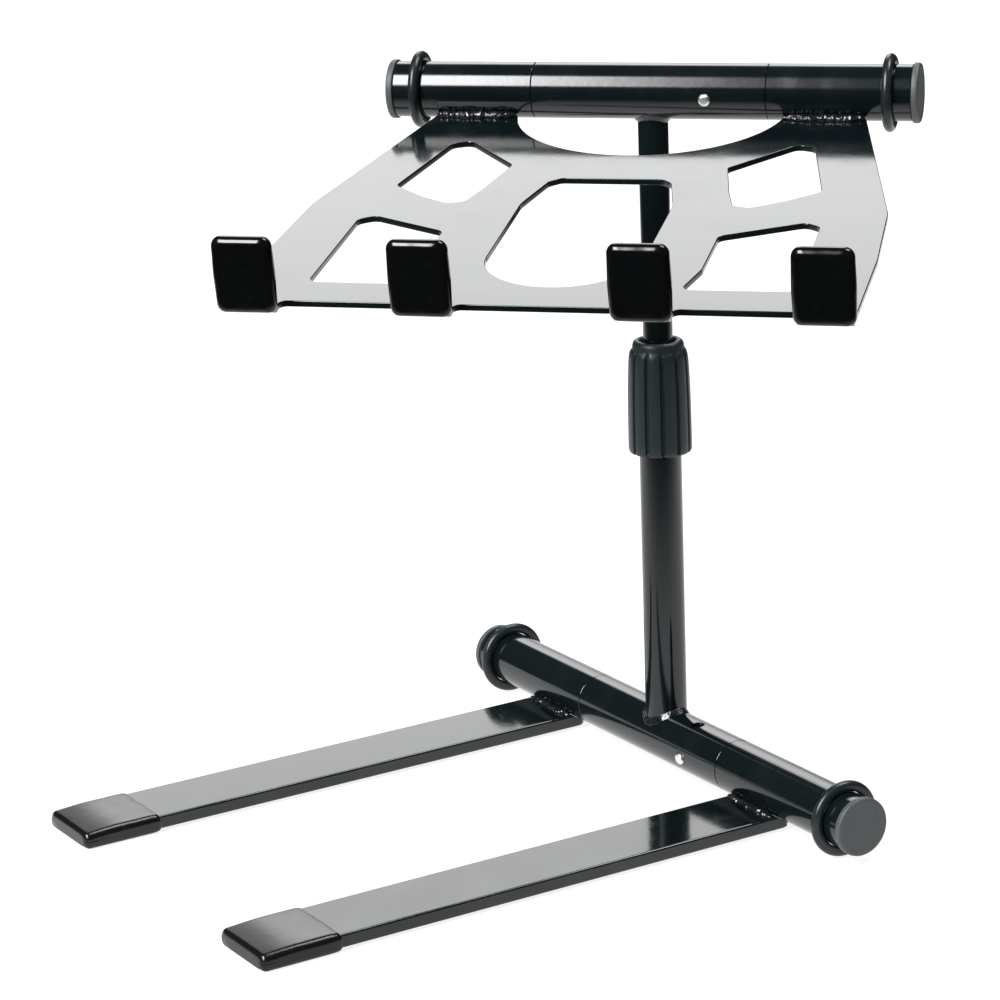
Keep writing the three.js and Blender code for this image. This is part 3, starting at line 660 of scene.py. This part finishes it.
def collar():
    steps = RIBS * 28
    outside = [
        (177, 13.9, 0), (177, 15.6, 0), (177.2, 16.1, 0.3), (177.9, 16.5, 0.8), (178.8, 16.7, 1),
        (183, 16.7, 1), (192, 16.65, 1), (202, 16.55, 1), (212, 16.35, 1), (220, 16.05, 1),
        (225, 15.8, 1), (228, 15.55, 1), (229.6, 15.3, 0.9), (230.8, 14.95, 0.7),
        (231.6, 14.5, 0.4), (232.1, 14.0, 0.15), (232.5, 13.75, 0), (233.3, 13.6, 0),
        (234.4, 13.5, 0), (235.4, 13.2, 0), (236.2, 12.7, 0), (236.8, 12.0, 0), (237, 11.2, 0),
        (236.9, 10.3, 0), (236.5, 9.5, 0), (235.7, 8.9, 0), (234.6, 8.65, 0), (234, 8.7, 0),
        (232.4, 10.2, 0), (228.2, 10.2, 0), (219.6, 13.6, 0), (206, 13.6, 0), (192, 13.6, 0),
        (179, 13.6, 0),
    ]
    verts, faces = [], []
    for k in range(steps):
        a = 2 * math.pi * k / steps
        from_rib = ((k % 28) / 28 - 0.5) * 2
        groove = max(0.0, 1 - ((1 - abs(from_rib)) / 0.25) ** 2)
        crown = 0.16 * from_rib * from_rib
        for z, r, share in outside:
            depth = share * (1.5 * math.sqrt(groove) + crown)
            rise = 0.9 * groove if z < 178.5 and share < 1 else 0.0
            top = -1.8 * abs(from_rib) ** 3 * (share if z > 227 else 0)
            verts.append(((r - depth) * math.cos(a), (r - depth) * math.sin(a), z + rise + top))
    count = len(outside)
    for k in range(steps):
        here, there = k * count, (k + 1) % steps * count
        for j in range(count):
            after = (j + 1) % count
            faces.append((here + j, here + after, there + after, there + j))
    mesh = mesh_from(verts, faces, MM @ Matrix.Rotation(math.radians(2), 4, "Z"))
    finish_piece("locking_collar_ribbed", mesh, "collar", GRIP, ["locking_collar"], 42)


pipe("lower_post", POST_R, POST_R - POST_WALL, BASE_Z, POST_TOP, MM, "mast", BASE_Z)
pipe("upper_post", STEM_R, STEM_R - STEM_WALL, STEM_LOW, TOP_Z, HEAD, "head", TOP_Z)
collar()


# ---- Tray ---------------------------------------------------------------------------------------
def flip(points):
    return [(x, -front, *more) for x, front, *more in points]


def mirror(points):
    return [(-x, *more) for x, *more in reversed(points)]


def arc(radius, x_from, x_to, steps):
    """Points on the rear arc round the mast, from one x to another."""
    start, stop = math.asin(x_from / radius), math.asin(x_to / radius)
    angles = [start + (stop - start) * k / steps for k in range(steps + 1)]
    return [(radius * math.sin(a), radius * math.cos(a)) for a in angles]


def plate():
    inner, outer = HOOKS[2], HOOKS[3]
    root = TONGUE_FACE - PLATE_THICK - BEND + 0.3
    right = [
        (111, TAB_EDGE, 2), (140.5, 145, 60), (outer + TONGUE_HALF, 205, 40), (outer + TONGUE_HALF, root),
        (outer - TONGUE_HALF, root), (outer - TONGUE_HALF, PLATE_FRONT, 4),
        (inner + TONGUE_HALF, PLATE_FRONT, 4), (inner + TONGUE_HALF, root),
        (inner - TONGUE_HALF, root), (inner - TONGUE_HALF, PLATE_FRONT, 4),
    ]
    edge_x = math.sqrt(REAR_ARC ** 2 - TAB_EDGE ** 2)
    rear = arc(REAR_ARC, -edge_x, edge_x, 60)
    rear[0] = (*rear[0], 1.2)
    rear[-1] = (*rear[-1], 1.2)
    outline = fillet(flip(rear + right + mirror(right)), 8)
    windows = []
    upper = [(83, 51.5, 5), (92, 55, 5), (105, 117.5, 5), (89, 131.5, 4),
             (74, 141, 5), (65.5, 138, 5), (61, 121, 6), (54, 86, 5)]
    lower = [(104, 160, 5), (111.5, 165, 5), (113, 246.5, 5),
             (61, 246.8, 4), (66.3, 221, 8), (66.3, 179, 5)]
    for points in (upper, lower):
        windows.append(fillet(flip(points), 6))
        windows.append(fillet(flip(mirror(points)), 6))
    middle = [(25, 104, 5), (30.3, 109, 6), (MIDDLE_HALF, 140, 30), (MIDDLE_HALF, MIDDLE_ARC)]
    turns = [math.pi * k / 32 for k in range(1, 32)]
    round_end = [(MIDDLE_HALF * math.cos(a), MIDDLE_ARC + MIDDLE_HALF * math.sin(a)) for a in turns]
    loop = middle + round_end + mirror(middle)
    windows.append(fillet(flip(loop), 6))
    mesh = slab([outline, *windows], PLATE_TOP - PLATE_THICK, PLATE_TOP, PLATE_EDGE, TRAY, 2)
    whole = join([mesh, *[tongue(x) for x in HOOKS]])
    finish_piece("tray_plate_sheet", whole, "tray", SHEET, ["tray_plate"], 30, True)


def tongue(x):
    """The bent-up strip inside one hook cover."""
    start = TONGUE_FACE - PLATE_THICK - BEND
    outside = BEND + PLATE_THICK
    turns = [math.pi / 2 * k / 8 for k in range(9)]
    side = [(start - 1, -PLATE_THICK), (start, -PLATE_THICK)]
    side += [(start + outside * math.sin(a), BEND - outside * math.cos(a)) for a in turns[1:]]
    side += [(TONGUE_FACE, TONGUE_TOP), (TONGUE_FACE - PLATE_THICK, TONGUE_TOP)]
    side += [(start + BEND * math.sin(a), BEND - BEND * math.cos(a)) for a in reversed(turns)]
    side += [(start - 1, 0)]
    centres = [(x - TONGUE_HALF, 0, PLATE_TOP), (x + TONGUE_HALF, 0, PLATE_TOP)]
    return swept(centres, [((0, -1, 0), (0, 0, 1))] * 2, [side, side], TRAY)


def hook_cover(name, x, seed):
    """Rubber sleeve dipped over a tongue: barrel sides, soft corners and a full rounded rim."""
    half, z_low, z_high = COVER_HALF, COVER_LOW - 0.6, COVER_TOP
    depth = PLATE_THICK + 2 * (GAP + COVER_WALL)
    middle = TONGUE_FACE - PLATE_THICK / 2
    bulge = 0.55
    outline = fillet([
        (-half + bulge, z_low, 4), (half - bulge, z_low, 4), (half, (z_low + z_high) / 2, 90),
        (half - bulge, z_high, 4.5), (-half + bulge, z_high, 4.5), (-half, (z_low + z_high) / 2, 90),
    ], 8)
    loop = resample(outline, 120)
    layers = 13
    edge = 3.5
    rows = []
    for k in range(layers):
        a = math.pi / 2 * (k / (layers - 1))
        rows.append((-depth / 2 + edge * (1 - math.sin(a)), edge * (1 - math.cos(a))))
    rows = [(-depth / 2, edge + 6), (-depth / 2, edge + 2)] + rows[::-1]
    rows += [(-d, s) for d, s in reversed(rows)]
    verts, faces = [], []
    centre_z = (z_low + z_high) / 2
    for d, shrink in rows:
        for p in loop:
            sx = (half - shrink) / half
            sz = ((z_high - z_low) / 2 - shrink) / ((z_high - z_low) / 2)
            px, pz = p.x * sx, (p.y - centre_z) * sz + centre_z
            pillow = 0.25 * (1 - (p.x / half) ** 2 * 0.9) if shrink > edge + 1 else 0.0
            sag = 0.12 * noise.noise(Vector((px * 0.15, pz * 0.15, seed)))
            swell = (pillow + sag) * (0.3 if d > 0 else -1)
            verts.append((x + px, -middle + d + swell, pz + PLATE_TOP))
    count = len(loop)
    for k in range(len(rows) - 1):
        for j in range(count):
            after = (j + 1) % count
            faces.append((k * count + j, k * count + after, (k + 1) * count + after, (k + 1) * count + j))
    faces.append(tuple(range(count - 1, -1, -1)))
    faces.append(tuple(range((len(rows) - 1) * count, len(rows) * count)))
    mesh = mesh_from(verts, faces, TRAY)
    finish_piece(f"{name}_dipped", mesh, "tray", DIPPED, [name], 50, True)


plate()
for index, x in enumerate(HOOKS):
    hook_cover(f"hook_cover_{index + 1}", x, 2.0 + index * 3)


# ---- The CAD nodes that stay --------------------------------------------------------------------
def carry(node, material):
    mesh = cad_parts[node].data
    mesh.materials.clear()
    mesh.materials.append(material)


for node in ("base_inner_tube", "top_inner_tube"):
    carry(node, PAINT)
for node in ("thread_bush", "split_collet", "guide_bush"):
    carry(node, INNER)
for node in ("base_button_spring", "top_button_spring"):
    carry(node, METAL)


# ---- Floor, light and camera --------------------------------------------------------------------
VIEWER = (0.831, -0.556, 0.0)   # level direction from the stand towards the camera
PANEL_TURN = 149.5              # degrees round from +X to the middle of the panel behind the stand
BEHIND = 0.6                    # metres from the mast, away from the camera, to the middle of the floor patch that stays pale in reflections
KEY = 26.0
OVERHEAD = (0.05, 0.446, 0.893) # towards a small lamp above, which lights the rounded edges
EYE = (1521.56, -1017.95, 687.29)


def floor():
    """A pale, evenly glowing floor. Polished parts mirror it as a dark set beyond the camera's foreground,
    which is a painted reflection: only glossy rays see the floor fade to near black away from a patch
    behind the stand.
    """
    n = Nodes("studio_floor")
    soft = n.ramp(n.noise(3, 2), [(0.3, (0.19, 0.19, 0.19)), (0.7, (0.21, 0.21, 0.21))])
    rough = n.ramp(n.noise(40, 2), [(0.3, 0.8), (0.7, 0.95)])
    away = n.add("ShaderNodeVectorMath", operation="DISTANCE")
    away.inputs[1].default_value = AXIS - BEHIND * Vector(VIEWER)
    n.link(n.place, away.inputs[0])
    fade = n.add("ShaderNodeMapRange", interpolation_type="SMOOTHSTEP",
                 **{"From Min": 0.72, "From Max": 1.3, "To Min": 1.0, "To Max": 0.02})
    n.link(away.outputs["Value"], fade.inputs["Value"])
    # Painted reflection: to glossy rays only, the floor's colour and glow fade to near black from 0.72 to
    # 1.3 m off that patch.
    mirrored = n.add("ShaderNodeLightPath").outputs["Is Glossy Ray"]
    shade = n.mix(mirrored, (1.0, 1.0, 1.0), fade.outputs["Result"])
    glow = n.add("ShaderNodeMath", operation="MULTIPLY")
    n.link(shade, glow.inputs[0])
    glow.inputs[1].default_value = 0.86
    n.link(glow.outputs["Value"], n.shader.inputs["Emission Strength"])
    n.shader.inputs["Emission Color"].default_value = (1, 1, 1, 1)
    n.done(n.mix(1.0, soft, shade, "MULTIPLY"), rough, None, Specular_IOR_Level=0.0)
    mesh = bpy.data.meshes.new("floor")
    count, size = 96, 12.0
    rim = [(size * c, size * s, -0.0004) for c, s in ring_points(count)]
    mesh.from_pydata(rim, [], [tuple(range(count))])
    mesh.materials.append(n.material)
    ground = bpy.data.objects.new("studio_floor", mesh)
    bpy.context.scene.collection.objects.link(ground)


class Sky:
    """The studio round the stand, built from soft-edged patches of light in the world shader."""

    def __init__(self):
        world = bpy.data.worlds.new("studio")
        bpy.context.scene.world = world
        world.use_nodes = True
        self.tree = world.node_tree
        self.back = self.tree.nodes["Background"]
        self.where = self.tree.nodes.new("ShaderNodeTexCoord").outputs["Generated"]

    def along(self, direction):
        node = self.tree.nodes.new("ShaderNodeVectorMath")
        node.operation = "DOT_PRODUCT"
        node.inputs[1].default_value = direction
        self.tree.links.new(self.where, node.inputs[0])
        return node.outputs["Value"]

    def math(self, operation, *values):
        node = self.tree.nodes.new("ShaderNodeMath")
        node.operation = operation
        for socket, value in zip(node.inputs, values):
            if isinstance(value, bpy.types.NodeSocket):
                self.tree.links.new(value, socket)
            else:
                socket.default_value = value
        return node.outputs["Value"]

    def step(self, value, start, stop, low=0.0, high=1.0):
        node = self.tree.nodes.new("ShaderNodeMapRange")
        node.interpolation_type = "SMOOTHSTEP"
        for key, number in (("From Min", start), ("From Max", stop), ("To Min", low), ("To Max", high)):
            node.inputs[key].default_value = number
        self.tree.links.new(value, node.inputs["Value"])
        return node.outputs["Result"]

    def product(self, first, *rest):
        for value in rest:
            first = self.math("MULTIPLY", first, value)
        return first

    def total(self, first, *rest):
        for value in rest:
            first = self.math("ADD", first, value)
        return first

    def finish(self, level):
        ray = self.tree.nodes.new("ShaderNodeLightPath")
        seen = self.tree.nodes.new("ShaderNodeMix")
        self.tree.links.new(ray.outputs["Is Camera Ray"], seen.inputs["Factor"])
        self.tree.links.new(level, seen.inputs["A"])
        seen.inputs["B"].default_value = 1.0
        self.tree.links.new(seen.outputs["Result"], self.back.inputs["Strength"])
        self.back.inputs["Color"].default_value = (1, 1, 1, 1)


def studio_world():
    """A bright panel behind the stand, a tall key panel in front of it, and dim walls elsewhere."""
    sky = Sky()
    rise = sky.along((0, 0, 1))
    turn = sky.math("ARCTAN2", sky.along((0, 1, 0)), sky.along((1, 0, 0)))
    off_panel = sky.math("ABSOLUTE", sky.math("SUBTRACT", turn, math.radians(PANEL_TURN)))
    inside = sky.step(off_panel, math.radians(14), math.radians(8))
    panel_level = sky.math("ADD", sky.step(rise, 0.2, 0.32, 1.0, 2.5), sky.step(rise, 0.38, 0.46, 0.0, 1.4))
    panel = sky.product(inside, panel_level, sky.step(rise, 0.72, 0.58))
    across, ahead = (math.cos(SWIVEL), math.sin(SWIVEL), 0), (math.sin(SWIVEL), -math.cos(SWIVEL), 0)
    slant = sky.along(across)
    climb = sky.math("ARCTAN2", rise, sky.along(ahead))
    key = sky.product(
        sky.step(slant, -0.175, -0.262, 0.0, KEY),
        sky.step(slant, -0.62, -0.5),
        sky.step(climb, math.radians(22), math.radians(30)),
        sky.step(climb, math.radians(73), math.radians(64)))
    overhead = sky.step(sky.along(OVERHEAD), 0.955, 0.985, 0.0, 11.0)
    sky.finish(sky.total(key, panel, overhead, 0.06))


def camera():
    yaw, pitch, roll = math.radians(-58.905), math.radians(16.371), math.radians(2.064)
    forward = Vector((math.sin(yaw) * math.cos(pitch), math.cos(yaw) * math.cos(pitch), -math.sin(pitch)))
    level = Vector((math.cos(yaw), -math.sin(yaw), 0))
    under = forward.cross(level)
    right = level * math.cos(roll) + under * math.sin(roll)
    down = under * math.cos(roll) - level * math.sin(roll)
    data = bpy.data.cameras.new("camera")
    data.sensor_width = 36
    data.lens = 130.19
    data.shift_x, data.shift_y = 0.0012, 0.0053
    data.clip_start, data.clip_end = 0.05, 60
    eye = bpy.data.objects.new("camera", data)
    bpy.context.scene.collection.objects.link(eye)
    place = Matrix((right, -down, -forward)).transposed().to_4x4()
    place.translation = MM @ Vector(EYE)
    eye.matrix_world = place
    bpy.context.scene.camera = eye


floor()
studio_world()
camera()
bpy.context.scene.view_settings.view_transform = "Standard"
